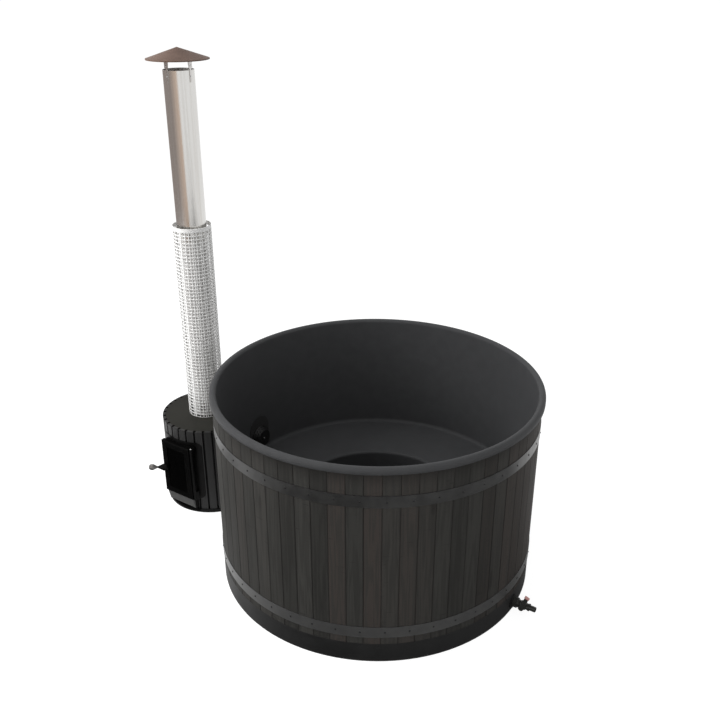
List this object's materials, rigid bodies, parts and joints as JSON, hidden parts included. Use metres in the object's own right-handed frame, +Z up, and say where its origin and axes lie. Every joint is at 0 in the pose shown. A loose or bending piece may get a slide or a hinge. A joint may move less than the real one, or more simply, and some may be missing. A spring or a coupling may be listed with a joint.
{
  "type": "wood-fired hot tub",
  "caption": "Round staved hot tub with a bench and a foot well, heated by an outside wood stove with a glazed door, ash drawer, guarded flue, rain cap and a drain valve.",
  "frame": {"origin": "centre of the tub's round base, on the floor", "axes": "+Z up; +X from the stove towards the drain valve, so the stove stands on -X; the stove door faces -Y"},
  "size_m": [2.2967, 1.6, 2.471],
  "materials": {
    "liner": "moulded, satin sheen",
    "cladding": "dark grey stained boards with open grain",
    "frame_timber": "planed softwood",
    "base_plastic": "moulded, matt",
    "band_steel": "dark grey, satin",
    "dark_steel": "blackened, satin",
    "bright_steel": "bright",
    "stainless": "brushed",
    "stove_black": "heat-proof black, matt",
    "lid_steel": "dark grey, satin",
    "grate_iron": "as cast",
    "stove_glass": "smoked, heat-proof",
    "rope_seal": "woven",
    "fitting_black": "moulded, satin",
    "valve_black": "black, satin",
    "lever_red": "dipped, glossy",
    "cap_brown": "heat-tinted brown, satin",
    "guard_steel": "light grey"
  },
  "bodies": {
    "tub_and_stove": {"tub_liner": "liner", "wall_staves": "cladding", "drilled_stave": "cladding", "stove_slats": "cladding", "floor_joists": "frame_timber", "bench_ribs": "frame_timber", "base_tray": "base_plastic", "upper_band": "band_steel", "lower_band": "band_steel", "band_screws": "dark_steel", "outlet_cover_screw": "bright_steel", "cap_screws": "bright_steel", "hinge_pin": "bright_steel", "hot_water_pipe": "stainless", "cold_water_pipe": "stainless", "pipe_lock_nuts": "stainless", "floor_drain": "stainless", "drain_strainer": "stainless", "drain_pipe": "stainless", "flue_collar": "stainless", "lower_flue_pipe": "stainless", "upper_flue_pipe": "stainless", "guard_spacers": "stainless", "cap_legs": "stainless", "stove_base": "stove_black", "water_jacket": "stove_black", "slat_hoops": "stove_black", "firebox": "stove_black", "door_throat": "stove_black", "throat_trim": "stove_black", "hinge_knuckles": "stove_black", "latch_catch": "stove_black", "stove_lid": "lid_steel", "fire_grate": "grate_iron", "outlet_plate": "fitting_black", "outlet_cover": "fitting_black", "cover_bridge": "fitting_black", "intake_grille": "fitting_black", "drain_rosette": "fitting_black", "drain_union_nut": "valve_black", "valve_body": "valve_black", "hose_tail": "valve_black", "rain_cap": "cap_brown", "heat_guard": "guard_steel"},
    "stove_door": {"door_frame": "stove_black", "door_glass": "stove_glass", "glass_retainer": "stove_black", "door_gasket": "rope_seal", "door_hinge_barrel": "stove_black"},
    "door_latch": {"latch_spindle": "stove_black", "latch_lever": "stove_black", "latch_knob": "stainless", "latch_tongue": "stove_black"},
    "ash_drawer": {"ash_drawer_tray": "stove_black", "ash_drawer_front": "stove_black"},
    "drain_valve": {"valve_ball": "stainless", "valve_stem": "stainless", "valve_lever": "valve_black", "lever_cap": "lever_red"}
  },
  "joints": [
    {"name": "door_hinge", "type": "hinge", "parent": "tub_and_stove", "child": "stove_door", "pos_m": [-1.0163, -0.28, 0.268], "axis": [0, 0, 1], "range_deg": [0, 110]},
    {"name": "latch_turn", "type": "hinge", "parent": "stove_door", "child": "door_latch", "pos_m": [-1.2103, -0.28, 0.262], "axis": [0, -1, 0], "range_deg": [0, 70]},
    {"name": "ash_drawer_slide", "type": "slide", "parent": "tub_and_stove", "child": "ash_drawer", "axis": [0, -1, 0], "range_m": [0, 0.24]},
    {"name": "valve_turn", "type": "hinge", "parent": "tub_and_stove", "child": "drain_valve", "pos_m": [0.8402, 0, 0.042], "axis": [0, 1, 0], "range_deg": [-20, 70]}
  ]
}
